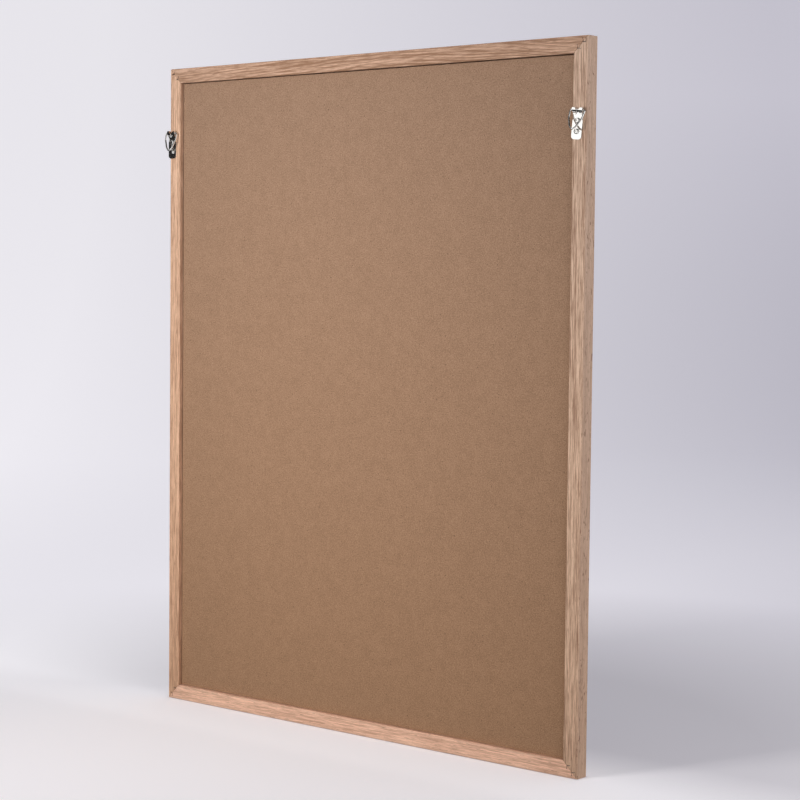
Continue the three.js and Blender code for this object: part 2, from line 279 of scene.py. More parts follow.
def stretched(tree, vector, scale, detail=2.0, roughness=0.5, distortion=0.0):
    """Noise with its own scale along each axis."""
    vector = node(tree, "ShaderNodeMapping", {"Vector": vector, "Scale": scale}).outputs[0]
    return noise(tree, vector, 1.0, detail, roughness, distortion)


def between(tree, value, low, high, to_low=0.0, to_high=1.0):
    """The value's place between low and high, held between to_low and to_high."""
    inputs = {"Value": value, "From Min": low, "From Max": high, "To Min": to_low, "To Max": to_high}
    return node(tree, "ShaderNodeMapRange", inputs).outputs[0]


def mixed(tree, share, first, second, blend="MIX"):
    inputs = {0: share, 6: first, 7: second}
    return node(tree, "ShaderNodeMix", inputs, data_type="RGBA", blend_type=blend).outputs[2]


def new_group(name, inputs, outputs):
    tree = bpy.data.node_groups.new(name, "ShaderNodeTree")
    for label, kind, value in inputs:
        socket = tree.interface.new_socket(label, in_out="INPUT", socket_type=f"NodeSocket{kind}")
        if value is not None:
            socket.default_value = value
    for label, kind in outputs:
        tree.interface.new_socket(label, in_out="OUTPUT", socket_type=f"NodeSocket{kind}")
    return tree, tree.nodes.new("NodeGroupInput").outputs, tree.nodes.new("NodeGroupOutput").inputs


def use_group(tree, group, inputs):
    return node(tree, "ShaderNodeGroup", inputs, node_tree=group).outputs


def new_material(name, **sockets):
    """A material with its node tree, its main shader's inputs and its object coordinates."""
    material = bpy.data.materials.new(name)
    material.use_nodes = True
    tree = material.node_tree
    shader = tree.nodes["Principled BSDF"]
    for label, value in sockets.items():
        shader.inputs[label.replace("_", " ")].default_value = value
    coordinates = tree.nodes.new("ShaderNodeTexCoord").outputs["Object"]
    return material, tree, shader.inputs, coordinates


def rough_surface(tree, shader, height, strength, distance):
    inputs = {"Height": height, "Strength": strength, "Distance": distance}
    tree.links.new(node(tree, "ShaderNodeBump", inputs).outputs[0], shader["Normal"])


def grain_group():
    """Sawn oak. The vector's X runs along the member, in metres."""
    tree, given, out = new_group(
        "oak grain",
        [
            ("Vector", "Vector", None),
            ("Bow", "Float", 0.5),
            ("Middle", "Float", 0.0),
            ("Ring width", "Float", 0.0028),
            ("Light", "Color", (0.6, 0.4, 0.26, 1)),
            ("Dark", "Color", (0.4, 0.23, 0.14, 1)),
            ("Waviness", "Float", 1.0),
            ("Flecks", "Float", 0.0),
            ("Ring depth", "Float", 1.0),
            ("Quarter face", "Float", 0.0),
        ],
        [("Color", "Color"), ("Roughness", "Float"), ("Height", "Float")],
    )
    vector = given["Vector"]
    parts = node(tree, "ShaderNodeSeparateXYZ", {0: vector}).outputs
    drift = stretched(tree, vector, (4.2, 14, 14))
    spacing = stretched(tree, vector, (4, 75, 75))
    wander = stretched(tree, vector, (30, 240, 240))
    along = maths(tree, "SUBTRACT", parts["X"], given["Middle"])
    arc = maths(tree, "MULTIPLY", maths(tree, "MULTIPLY", along, along), given["Bow"])
    across = maths(tree, "ADD", parts["Z"], maths(tree, "MULTIPLY", parts["Y"], 0.55))
    ring = maths(tree, "ADD", across, arc)
    waves = maths(tree, "MULTIPLY_ADD", drift, 0.018, maths(tree, "MULTIPLY", spacing, 0.006))
    ring = maths(tree, "MULTIPLY_ADD", waves, given["Waviness"], ring)
    ring = maths(tree, "MULTIPLY_ADD", maths(tree, "MULTIPLY", wander, 0.0018), given["Waviness"], ring)
    rings = maths(tree, "DIVIDE", ring, given["Ring width"])
    year = node(tree, "ShaderNodeTexWhiteNoise", {"W": maths(tree, "FLOOR", rings)}, noise_dimensions="1D")
    ring = maths(tree, "FRACT", rings)
    late = between(tree, ring, 0.25, 0.9)
    late = maths(tree, "MULTIPLY", late, between(tree, ring, 1.0, 0.9))
    late = maths(tree, "MULTIPLY", late, between(tree, year.outputs["Value"], 0.0, 1.0, 0.25, 1.15))
    fibre = stretched(tree, vector, (55, 900, 900), 4.0, 0.6)
    streak = stretched(tree, vector, (6, 300, 300))
    line = stretched(tree, vector, (20, 560, 560), 3.0, 0.65)
    pore_noise = stretched(tree, vector, (80, 950, 950), 2.0, 0.6)
    small_pores = stretched(tree, vector, (150, 2600, 2600), 2.0, 0.6)
    small_pores = between(tree, small_pores, 0.56, 0.66, 0.0, 0.85)
    pores = maths(tree, "MAXIMUM", between(tree, pore_noise, 0.6, 0.7), small_pores)
    pores = maths(tree, "MULTIPLY", pores, between(tree, ring, 0.55, 0.1, 0.3, 1.0))
    late = maths(tree, "MULTIPLY", late, given["Ring depth"])
    tone = maths(tree, "MULTIPLY", late, between(tree, drift, 0.3, 0.7, 0.5, 0.95))
    tone = maths(tree, "ADD", tone, between(tree, streak, 0.36, 0.68, -0.05, 0.25))
    tone = maths(tree, "ADD", tone, between(tree, line, 0.36, 0.66, -0.2, 0.65))
    tone = maths(tree, "ADD", tone, between(tree, fibre, 0.3, 0.7, -0.3, 0.5))
    contrast = maths(tree, "MULTIPLY_ADD", given["Quarter face"], -0.6, 1.0)
    evenness = maths(tree, "MULTIPLY", given["Quarter face"], 0.17)
    tone = maths(tree, "MULTIPLY_ADD", between(tree, tone, 0.0, 1.0), contrast, evenness)
    color = mixed(tree, tone, given["Light"], given["Dark"])
    color = mixed(tree, maths(tree, "MULTIPLY", pores, 0.65), color, PORE_COLOR)
    rays = stretched(tree, vector, (75, 330, 280), 1.0, 0.5, 1.8)
    rays = maths(tree, "MULTIPLY", between(tree, rays, 0.64, 0.7), given["Flecks"])
    rays = maths(tree, "MULTIPLY", rays, between(tree, given["Quarter face"], 0.0, 1.0, 0.15, 1.0))
    tree.links.new(mixed(tree, rays, color, RAY_COLOR), out["Color"])
    tree.links.new(between(tree, fibre, 0.2, 0.8, 0.5, 0.66), out["Roughness"])
    height = maths(tree, "MULTIPLY_ADD", pores, -1.0, maths(tree, "MULTIPLY", fibre, 0.45))
    tree.links.new(maths(tree, "MULTIPLY_ADD", late, 0.2, height), out["Height"])
    return tree


def warmed(tree, spot, color, warmth):
    """The colour, tinted more and more towards the foot of the board."""
    height = node(tree, "ShaderNodeSeparateXYZ", {0: spot}).outputs["Z"]
    tint = mixed(tree, between(tree, height, *WARMTH_HEIGHTS), warmth, WHITE)
    return mixed(tree, 1.0, color, tint, "MULTIPLY")


def oak(name, turn, shift, tones, bow, middle, waviness=0.3, flecks=0.0, depth=0.45, warmth=OAK_WARMTH):
    """One member's oak. Its outer faces, cut across the rays, are calmer and show the flecks."""
    material, tree, shader, spot = new_material(name, Specular_IOR_Level=0.35)
    inputs = {"Vector": spot, "Rotation": turn, "Location": shift}
    vector = node(tree, "ShaderNodeMapping", inputs).outputs[0]
    parts = node(tree, "ShaderNodeSeparateXYZ", {0: spot}).outputs
    from_middle = maths(tree, "ABSOLUTE", maths(tree, "SUBTRACT", parts["Z"], BOARD_HEIGHT / 2 * MM))
    past_side = maths(tree, "SUBTRACT", maths(tree, "ABSOLUTE", parts["X"]), BOARD_WIDTH / 2 * MM)
    past_end = maths(tree, "SUBTRACT", from_middle, BOARD_HEIGHT / 2 * MM)
    outer = between(tree, maths(tree, "MAXIMUM", past_side, past_end), *OUTER_FACE)
    values = {"Vector": vector, "Bow": bow, "Middle": middle, "Quarter face": outer}
    values.update({"Ring width": RING_WIDTH, "Waviness": waviness, "Flecks": flecks, "Ring depth": depth})
    values["Light"], values["Dark"] = tones
    made = use_group(tree, grain, values)
    tree.links.new(warmed(tree, spot, made["Color"], warmth), shader["Base Color"])
    tree.links.new(made["Roughness"], shader["Roughness"])
    rough_surface(tree, shader, made["Height"], strength=0.35, distance=0.00018)
    return material


def fibreboard_group():
    """Pressed wood fibre: soft mottling, short pale fibres and a few dark specks."""
    tree, given, out = new_group(
        "pressed fibre",
        [
            ("Vector", "Vector", None),
            ("Light", "Color", (0.4, 0.25, 0.16, 1)),
            ("Dark", "Color", (0.26, 0.15, 0.09, 1)),
        ],
        [("Color", "Color"), ("Height", "Float")],
    )
    vector = given["Vector"]
    cloud = noise(tree, vector, 90.0, 4.0, 0.6)
    mottle = noise(tree, vector, 420.0, 3.0, 0.65)
    fine = noise(tree, vector, 800.0, 2.0, 0.6)
    fibres = stretched(tree, vector, (1700, 600, 420), 2.0, 0.6, 1.6)
    other = stretched(tree, vector, (420, 600, 1700), 2.0, 0.6, 1.6)
    tone = 0.0
    layers = [
        (cloud, -0.1, 0.3),
        (mottle, -0.1, 0.2),
        (fibres, -0.3, 0.5),
        (other, -0.3, 0.5),
        (fine, -0.75, 0.95),
    ]
    for layer, least, most in layers:
        tone = maths(tree, "ADD", tone, between(tree, layer, 0.3, 0.7, least, most))
    color = mixed(tree, tone, given["Dark"], given["Light"])
    pale = maths(tree, "MAXIMUM", between(tree, fibres, 0.66, 0.74), between(tree, other, 0.66, 0.74))
    color = mixed(tree, maths(tree, "MULTIPLY", pale, 0.4), color, (0.58, 0.42, 0.3, 1))
    specks = between(tree, noise(tree, vector, 520.0, 0.0), 0.75, 0.8)
    color = mixed(tree, maths(tree, "MULTIPLY", specks, 0.7), color, (0.12, 0.07, 0.045, 1))
    tree.links.new(color, out["Color"])
    tree.links.new(maths(tree, "MULTIPLY_ADD", pale, 0.3, maths(tree, "ADD", mottle, fine)), out["Height"])
    return tree


def fibreboard(name, light, dark, roughness, warmth=WHITE):
    """Board that takes on a warmer tint towards its foot."""
    material, tree, shader, spot = new_material(name, Roughness=roughness, Specular_IOR_Level=0.3)
    made = use_group(tree, pressed, {"Vector": spot, "Light": light, "Dark": dark})
    tree.links.new(warmed(tree, spot, made["Color"], warmth), shader["Base Color"])
    rough_surface(tree, shader, made["Height"], strength=0.3, distance=0.0002)
    return material


def handling_group():
    """Marks of handling on metal: faint scratches and dull smudges."""
    tree, given, out = new_group(
        "handling marks", [("Vector", "Vector", None)], [("Smudge", "Float"), ("Scratch", "Float")]
    )
    vector = given["Vector"]
    smudge = between(tree, noise(tree, vector, 260.0, 3.0, 0.6), 0.35, 0.75)
    one_way = stretched(tree, vector, (300, 3500, 5200))
    other_way = stretched(tree, vector, (5200, 3500, 500))
    one_way, other_way = between(tree, one_way, 0.63, 0.7), between(tree, other_way, 0.64, 0.71)
    tree.links.new(smudge, out["Smudge"])
    tree.links.new(maths(tree, "MAXIMUM", one_way, other_way), out["Scratch"])
    return tree


def metal(name, color, dull_color, roughness, depth):
    material, tree, shader, spot = new_material(name, Metallic=1.0)
    made = use_group(tree, marks, {"Vector": spot})
    tree.links.new(mixed(tree, made["Smudge"], color, dull_color), shader["Base Color"])
    low, high = roughness
    shine = between(tree, made["Smudge"], 0.0, 1.0, low, high)
    tree.links.new(maths(tree, "MULTIPLY_ADD", made["Scratch"], 0.06, shine), shader["Roughness"])
    rough_surface(tree, shader, made["Scratch"], strength=0.12, distance=depth)
    return material


def felt():
    """Dyed felt: matted hairs that run every way, a soft nap and stray pale lint."""
    material, tree, shader, spot = new_material(
        "black felt",
        Roughness=0.95,
        Specular_IOR_Level=0.1,
        Sheen_Weight=0.35,
        Sheen_Roughness=0.45,
        Sheen_Tint=(0.62, 0.64, 0.68, 1),
    )
    hairs = [
        stretched(tree, spot, scale, 3.0, 0.6, 1.5)
        for scale in [(700, 2600, 2600), (2600, 2600, 700), (1500, 2000, 1500)]
    ]
    matted = maths(tree, "MAXIMUM", maths(tree, "MAXIMUM", hairs[0], hairs[1]), hairs[2])
    clumps = noise(tree, spot, 160.0, 3.0)
    tone = maths(tree, "MULTIPLY_ADD", clumps, 0.5, between(tree, matted, 0.42, 0.72, 0.0, 0.6))
    color = mixed(tree, tone, (0.008, 0.008, 0.009, 1), (0.034, 0.034, 0.037, 1))
    lint = between(tree, noise(tree, spot, 620.0, 1.0, 0.5, 2.0), 0.79, 0.82)
    color = mixed(tree, maths(tree, "MULTIPLY", lint, 0.3), color, (0.3, 0.3, 0.31, 1))
    tree.links.new(color, shader["Base Color"])
    nap = maths(tree, "MULTIPLY_ADD", clumps, 0.6, matted)
    rough_surface(tree, shader, nap, strength=0.6, distance=0.0005)
    return material


grain = grain_group()
pressed = fibreboard_group()
marks = handling_group()
UPRIGHT = (0.0, math.radians(90), 0.0)
LEVEL = (0.0, 0.0, 0.0)
# Each member has its own tones, partly its own wood and partly painted light: the bottom rail's are
# lighter and pinker for light thrown up from the floor, and the top rail's and the right stile's are
# darker for the lesser light that falls on them.
oaks = {
    "frame_top_rail": oak(
        "oak of the top rail",
        turn=LEVEL,
        shift=(0.0, 0.31, 0.4),
        tones=((0.68, 0.44, 0.315, 1), (0.32, 0.18, 0.11, 1)),
        bow=0.24,
        middle=-0.04,
        waviness=1.1,
        depth=1.0,
    ),
    "frame_bottom_rail": oak(
        "oak of the bottom rail",
        turn=LEVEL,
        shift=(2.6, 0.12, 0.2),
        tones=((0.97, 0.6, 0.425, 1), (0.6, 0.34, 0.23, 1)),
        bow=0.12,
        middle=2.45,
        waviness=0.6,
        depth=0.55,
        warmth=WHITE,
    ),
    "frame_left_stile": oak(
        "oak of the left stile",
        turn=UPRIGHT,
        shift=(0.4, 0.7, 0.9),
        tones=((0.82, 0.54, 0.375, 1), (0.41, 0.235, 0.15, 1)),
        bow=0.012,
        middle=0.3,
    ),
    "frame_right_stile": oak(
        "oak of the right stile",
        turn=UPRIGHT,
        shift=(0.9, 0.2, 0.1),
        tones=((0.78, 0.56, 0.42, 1), (0.34, 0.205, 0.14, 1)),
        bow=0.02,
        middle=0.2,
        flecks=0.75,
    ),
}
brown_board = fibreboard(
    "brown fibreboard",
    light=(0.397, 0.249, 0.166, 1),
    dark=(0.278, 0.171, 0.1105, 1),
    roughness=0.78,
    warmth=(1.0, 0.92, 0.8, 1),
)
grey_board = fibreboard(
    "grey fibreboard",
    light=(0.36, 0.29, 0.22, 1),
    dark=(0.2, 0.15, 0.11, 1),
    roughness=0.9,
)
nickel = metal(
    "bright nickel",
    color=(0.87, 0.86, 0.84, 1),
    dull_color=(0.8, 0.79, 0.77, 1),
    roughness=(0.05, 0.12),
    depth=0.00002,
)
steel = metal(
    "nail steel",
    color=(0.3, 0.26, 0.23, 1),
    dull_color=(0.14, 0.1, 0.08, 1),
    roughness=(0.4, 0.6),
    depth=0.00004,
)
black_felt = felt()


# Felt
def repeated(piece, count, offset):
    """The piece again and again, each copy joined to the one before."""
    use(
        piece,
        "ARRAY",
        count=count,
        use_relative_offset=False,
        use_constant_offset=True,
        constant_offset_displace=Vector(offset) * MM,
        use_merge_vertices=True,
        merge_threshold=NEAR * MM,
    )


def round_edges(piece, wanted, radius, steps):
    """In edit mode, rounds the level edges between the vertices whose place is wanted."""
    pick(piece, wanted)
    for edge in bmesh.from_edit_mesh(piece.data).edges:
        level = abs(edge.verts[0].co.z - edge.verts[1].co.z) < NEAR * MM
        edge.select_set(edge.select and level)
    bpy.ops.mesh.select_mode(type="EDGE")
    bpy.ops.mesh.bevel(offset=radius * MM, segments=steps, profile=0.5)
    bpy.ops.mesh.select_mode(type="VERT")


def felt_sheet():
    """One groove of one column, repeated across and up to fill the panel, then made uneven and thick."""
    column = PANEL_WIDTH / FELT_COLUMNS
    middle = BOARD_HEIGHT / 2
    first = middle - (GROOVE_COUNT - 1) / 2 * GROOVE_PITCH
    half_land = (GROOVE_PITCH - SLOT_WIDTH) / 2
    left = -PANEL_WIDTH / 2
    first_land = (left + column / 2, FELT_FRONT_Y, first - SLOT_WIDTH / 2 - half_land / 2)
    piece = upright_plane(first_land, column, half_land)
    pick(piece, lambda place: place.z > first - SLOT_WIDTH / 2 - NEAR)
    pull(y=SLOT_DEPTH)
    pull(z=SLOT_WIDTH)
    pull(y=-SLOT_DEPTH)
    pull(z=half_land)
    slot_floor_y = FELT_FRONT_Y + SLOT_DEPTH
    for edge_y, radius, steps in ((FELT_FRONT_Y, RIB_ROUNDING, 4), (slot_floor_y, SLOT_ROUNDING, 2)):

        def at_slot_edge(place):
            return abs(place.y - edge_y) < NEAR and abs(abs(place.z - first) - SLOT_WIDTH / 2) < NEAR

        round_edges(piece, at_slot_edge, radius, steps)
    end_editing()
    repeated(piece, FELT_COLUMNS, (column, 0, 0))
    repeated(piece, GROOVE_COUNT, (0, 0, GROOVE_PITCH))
    low, high = middle - PANEL_HEIGHT / 2, middle + PANEL_HEIGHT / 2
    last = first + (GROOVE_COUNT - 1) * GROOVE_PITCH
    for vertex in piece.data.vertices:
        if vertex.co.z / MM < first - GROOVE_PITCH / 2 + NEAR:
            vertex.co.z = low * MM
        elif vertex.co.z / MM > last + GROOVE_PITCH / 2 - NEAR:
            vertex.co.z = high * MM
    soft = bpy.data.textures.new("soft unevenness", "CLOUDS")
    soft.noise_scale = UNEVENNESS_WIDTH * MM
    uneven = {"texture": soft, "direction": "Z", "strength": RIB_UNEVENNESS * MM, "mid_level": 0.5}
    use(piece, "DISPLACE", texture_coords="GLOBAL", **uneven)
    uneven = {"texture": soft, "direction": "Y", "strength": NAP_UNEVENNESS * MM, "mid_level": 0.1}
    use(piece, "DISPLACE", texture_coords="LOCAL", **uneven)
    use(piece, "SOLIDIFY", thickness=FELT_THICKNESS * MM, offset=-1, use_even_offset=True)
    return piece


# Hangers
def notch_half(z):
    share = (z - NOTCH_ROOT[0]) / (NOTCH_TOP[0] - NOTCH_ROOT[0])
    return NOTCH_ROOT[1] + (NOTCH_TOP[1] - NOTCH_ROOT[1]) * share


def strap():
    """A plate drawn up from its foot, whose forked top goes over the ring's bar and down its front."""
    corner_width, corner_height = FOOT_CORNER
    rows = []
    for i in range(FOOT_STEPS + 1):
        turn = math.radians(90 - 90 / FOOT_STEPS * i)
        half = FOOT_HALF - corner_width * (1 - math.cos(turn))
        rows.append((corner_height * (1 - math.sin(turn)) - STRAP_LENGTH, half))
    rows += [FULL, WAIST, (NOTCH_ROOT[0], ARM_HALF)]
    foot_z, foot_half = rows[0]
    start_height = 1
    piece = upright_plane((0, PLATE_Y, foot_z - start_height / 2), 2 * foot_half, start_height)
    for (z, half), (next_z, next_half) in zip(rows, rows[1:]):
        pick(piece, lambda place: place.z > z - TINY)
        pull(z=next_z - z)
        resize_about((next_half / half, 1, 1), (0, PLATE_Y * MM, next_z * MM))
    pick(piece, lambda place: place.z < foot_z - TINY)
    bpy.ops.mesh.delete(type="VERT")
    for x in (-NOTCH_ROOT[1], NOTCH_ROOT[1]):
        bpy.ops.mesh.select_all(action="SELECT")
        bpy.ops.mesh.bisect(plane_co=(x * MM, 0, 0), plane_no=(1, 0, 0))
    for side in (-1, 1):
        draw_arm(piece, side)
    trim_arms(piece)
    end_editing()
    use(piece, "SOLIDIFY", thickness=STRAP_THICKNESS * MM, offset=0, use_even_offset=True)
    for drop in SCREW_DROPS:
        bpy.ops.object.select_all(action="DESELECT")
        bpy.ops.mesh.primitive_cylinder_add(
            vertices=ROUND_SIDES,
            radius=HOLE_RADIUS * MM,
            depth=6 * STRAP_THICKNESS * MM,
            location=(0, PLATE_Y * MM, -drop * MM),
            rotation=(math.radians(90), 0, 0),
        )
        cut(piece, bpy.context.object)
    sharp = math.radians(50)
    use(piece, "BEVEL", width=STRAP_EDGE * MM, segments=3, limit_method="ANGLE", angle_limit=sharp)
    settle(piece, STRAP_SMOOTHING)
    return piece


def draw_arm(piece, side):
    """Draws one arm up from the plate, over the ring's bar and down into its slanted tab."""

    def at_top(place):
        on_plate = place.y < PLATE_Y + NEAR
        return on_plate and place.z > NOTCH_ROOT[0] - TINY and place.x * side > NOTCH_ROOT[1] - TINY

    pick(piece, at_top)
    pull(z=EYE_RISE - NOTCH_ROOT[0])
    curl(EYE_RISE, 180)
    pull(z=-EYE_RISE)
    curl(0, TAB_LEAN)
    lean = math.radians(TAB_LEAN)
    length = (CURL_RADIUS * math.cos(lean) + BAR_Y - TAB_Y) / math.sin(lean)
    pull(y=-length * math.sin(lean), z=-length * math.cos(lean))
    end_of_lean = -CURL_RADIUS * math.sin(lean) - length * math.cos(lean)
    pull(z=TAB_END[0] - end_of_lean)


def curl(centre_z, degrees):
    """Spins the selected edge over the ring's bar, away from the plate and down."""
    centre = (0, BAR_Y * MM, centre_z * MM)
    steps = degrees // CURL_STEP
    bpy.ops.mesh.spin(steps=steps, angle=math.radians(degrees), center=centre, axis=(1, 0, 0))


def trim_arms(piece):
    """Slants the arms' edges: the notch opens upwards, and the tabs part as they come down."""
    mesh = bmesh.from_edit_mesh(piece.data)
    tab_z, tab_inner, tab_outer = TAB_END
    for vertex in mesh.verts:
        x, y, z = vertex.co / MM
        side = math.copysign(1, x)
        if z < NOTCH_ROOT[0] - TINY and y < PLATE_Y + NEAR:
            continue
        inner = abs(abs(x) - NOTCH_ROOT[1]) < NEAR
        if z >= NOTCH_ROOT[0]:
            half = notch_half(z) if inner else abs(x)
        else:
            share = (z - NOTCH_ROOT[0]) / (tab_z - NOTCH_ROOT[0])
            start, end = (NOTCH_ROOT[1], tab_inner) if inner else (ARM_HALF, tab_outer)
            half = start + (end - start) * share
        vertex.co.x = side * half * MM
    bmesh.update_edit_mesh(piece.data)


def ring():
    """A wire bent round from the middle of its bar, down to its point and back."""
    bpy.ops.object.select_all(action="DESELECT")
    bpy.ops.curve.primitive_bezier_curve_add(radius=MM)
    wire = bpy.context.object
    spline = wire.data.splines[0]
    before, last = Vector((RING_END, 0, 0)), Vector((-RING_END, 0, 0))
    corners = [Vector((x, 0, z)) for x, z, _ in RING_CORNERS] + [last]
    stations = [(before, before, before)]
    for i, (_, _, radius) in enumerate(RING_CORNERS):
        corner, after = corners[i], corners[i + 1]
        arriving, leaving = (corner - before).normalized(), (after - corner).normalized()
        reach = radius * math.tan(arriving.angle(leaving) / 2)
        start, end = corner - arriving * reach, corner + leaving * reach
        stations.append((start, start - arriving, start + (corner - start) * 2 / 3))
        stations.append((end, end + (corner - end) * 2 / 3, end + leaving))
        before = end
    stations.append((last, last, last))
    spline.bezier_points.add(len(stations) - len(spline.bezier_points))
    for point, (spot, arriving, leaving) in zip(spline.bezier_points, stations):
        point.handle_left_type = point.handle_right_type = "FREE"
        point.co, point.handle_left, point.handle_right = spot * MM, arriving * MM, leaving * MM
    knots = list(spline.bezier_points)
    for first, second in zip(knots[0::2], knots[1::2]):
        first.handle_right = first.co.lerp(second.co, 1 / 3)
        second.handle_left = first.co.lerp(second.co, 2 / 3)
    wire.data.dimensions = "3D"
    wire.data.twist_mode = "MINIMUM"
    wire.data.resolution_u = 14
    wire.data.bevel_depth = WIRE_RADIUS * MM
    wire.data.bevel_resolution = 5
    wire.data.use_fill_caps = True
    only(wire)
    bpy.ops.object.convert(target="MESH")
    piece = bpy.context.object
    settle(piece, ROUND_SMOOTHING)
    return piece


def turned(rows, sides):
    """A solid turned about Z, from rows of height and radius in millimetres."""
    (z, radius), *rest = rows
    bpy.ops.object.select_all(action="DESELECT")
    foot = (0, 0, z * MM)
    bpy.ops.mesh.primitive_circle_add(vertices=sides, radius=radius * MM, fill_type="NGON", location=foot)
    piece = bpy.context.object
    bpy.ops.object.transform_apply(location=True)
    begin_editing(piece)
    bpy.ops.mesh.select_all(action="SELECT")
    for next_z, next_radius in rest:
        pull(z=next_z - z)
        share = next_radius / radius
        resize_about((share, share, 1), (0, 0, next_z * MM))
        z, radius = next_z, next_radius
    end_editing()
    return piece


def screw():
    """A pan-head wood screw that points to -Y, with the underside of its head at y = 0."""
    neck_length, neck_radius = NECK["length"], NECK["radius"]
    length = neck_length + THREAD["turns"] * THREAD["pitch"] + TIP["length"]
    rows = [(-length, TIP["radius"])]
    for i in reversed(range(THREAD["turns"])):
        top = -neck_length - i * THREAD["pitch"]
        rows += [(top - THREAD["pitch"], THREAD["root"]), (top - THREAD["pitch"] / 2, THREAD["radius"])]
    rows += [(-neck_length, THREAD["root"]), (-neck_length + SHOULDER, neck_radius)]
    rows += [(-SHOULDER, neck_radius), (0, HEAD["radius"] - HEAD["easing"])]
    rows += [(HEAD["easing"], HEAD["radius"]), (HEAD["rim"], HEAD["radius"])]
    dome = HEAD["height"] - HEAD["rim"]
    for i in range(1, PAN_STEPS):
        turn = math.radians(90 * i / PAN_STEPS)
        up, out = math.sin(turn) ** PAN_ROUNDING, math.cos(turn) ** PAN_ROUNDING
        rows.append((HEAD["rim"] + dome * up, HEAD["radius"] * out))
    piece = turned(rows, ROUND_SIDES)
    for quarter in (0, 90):
        bpy.ops.object.select_all(action="DESELECT")
        bpy.ops.mesh.primitive_cube_add(size=1, location=(0, 0, HEAD["height"] * MM))
        arm = bpy.context.object
        arm.scale = (CROSS["length"] * MM, CROSS["width"] * MM, 2 * CROSS["depth"] * MM)
        bpy.ops.object.transform_apply(location=True, rotation=True, scale=True)
        begin_editing(arm)
        pick(arm, lambda place: place.z < HEAD["height"])
        floor_z = (HEAD["height"] - CROSS["depth"]) * MM
        resize_about((CROSS["taper"], CROSS["taper"], 1), (0, 0, floor_z))
        end_editing()
        arm.rotation_euler = (0, 0, math.radians(quarter))
        cut(piece, arm)
    piece.rotation_euler = (math.radians(-90), 0, 0)
    settle(piece, ROUND_SMOOTHING)
    return piece


def hang(piece, hanger, axis="Y", degrees=0.0, offset=(0, 0, 0)):
    """Turns a piece, moves it to its place in the hanger, and puts the hanger on its stile."""
    own = Matrix.Rotation(math.radians(degrees), 4, axis)
    moved = Matrix.Translation(Vector(offset) * MM)
    skewed = Matrix.Rotation(math.radians(-hanger["skew"]), 4, "Y")
    spot = Matrix.Translation(Vector((hanger["x"], BACK_Y, hanger["z"])) * MM)
    piece.data.transform(spot @ skewed @ moved @ own)
    piece.data.update()


sheet = felt_sheet()
settle(sheet, FELT_SMOOTHING)
finish(sheet, "felt_sheet", black_felt, "felt", "board", "felt_cover")

first_strap, first_ring, first_screw = strap(), ring(), screw()
for side, hanger in HANGERS.items():
    made = copy_of(first_strap)
    hang(made, hanger)
    finish(made, f"{side}_strap", nickel, "bright_nickel", "board", f"{side}_hanger_strap")
    made = copy_of(first_ring)
    hang(made, hanger, "X", hanger["ring"], (0, BAR_Y, 0))
    finish(made, f"{side}_ring_wire", nickel, "bright_nickel", f"{side}_ring", f"{side}_hanger_ring")
    for level, drop, turn in zip(("upper", "lower"), SCREW_DROPS, CROSS_DEGREES):
        made = copy_of(first_screw)
        hang(made, hanger, "Y", turn, (0, SCREW_SEAT, -drop))
        replaced = f"{side}_hanger_{level}_screw"
        finish(made, f"{side}_{level}_screw", nickel, "bright_nickel", "board", replaced)
for pattern in (first_strap, first_ring, first_screw):
    bpy.data.objects.remove(pattern)

finish_of = {"back_panel": brown_board, "letter_panel_core": grey_board, **oaks}
for name, cad_node in nodes.items():
    if name in finish_of:
        material = finish_of[name]
    elif name.startswith("corner_nail"):
        material = steel
    elif "hanger" in name:
        material = nickel
    else:
        material = black_felt
    cad_node.data.materials[0] = material


# Floor, backdrop, light and camera
def studio():
    """A pale floor whose far rim sweeps up into a wall all round."""
    bpy.ops.object.select_all(action="DESELECT")
    bpy.ops.mesh.primitive_circle_add(vertices=FLOOR_SIDES, radius=FLOOR_RADIUS, fill_type="NGON")
    floor = bpy.context.object
    begin_editing(floor)
    bpy.ops.mesh.select_all(action="SELECT")
    radius, height = FLOOR_RADIUS, 0.0
    bpy.ops.mesh.select_mode(type="EDGE")
    bpy.ops.mesh.region_to_loop()
    for i in range(1, SWEEP_STEPS + 1):
        turn = math.radians(90 * i / SWEEP_STEPS)
        next_radius = FLOOR_RADIUS + SWEEP_RADIUS * math.sin(turn)
        next_height = SWEEP_RADIUS * (1 - math.cos(turn))
        bpy.ops.mesh.extrude_edges_move(TRANSFORM_OT_translate={"value": (0, 0, next_height - height)})
        share = next_radius / radius
        resize_about((share, share, 1), (0, 0, next_height))
        radius, height = next_radius, next_height
    bpy.ops.mesh.extrude_edges_move(TRANSFORM_OT_translate={"value": (0, 0, WALL_HEIGHT)})
    end_editing()
    bpy.ops.object.shade_smooth()
    floor.name = "studio_floor"
    material, tree, shader, spot = new_material("pale paper", Roughness=0.9, Specular_IOR_Level=0.1)
    fine = between(tree, noise(tree, spot, 900.0, 2.0), 0.3, 0.7)
    tree.links.new(mixed(tree, fine, (0.79, 0.77, 0.785, 1), (0.81, 0.79, 0.805, 1)), shader["Base Color"])
    # The floor and wall glow with painted light and shade, which lights nothing else.
    tree.links.new(floor_painted_light(tree, spot), shader["Emission Color"])
    shader["Emission Strength"].default_value = 1.0
    floor.data.materials.append(material)
    floor.visible_diffuse = False
    floor.visible_glossy = False
    floor.visible_shadow = False


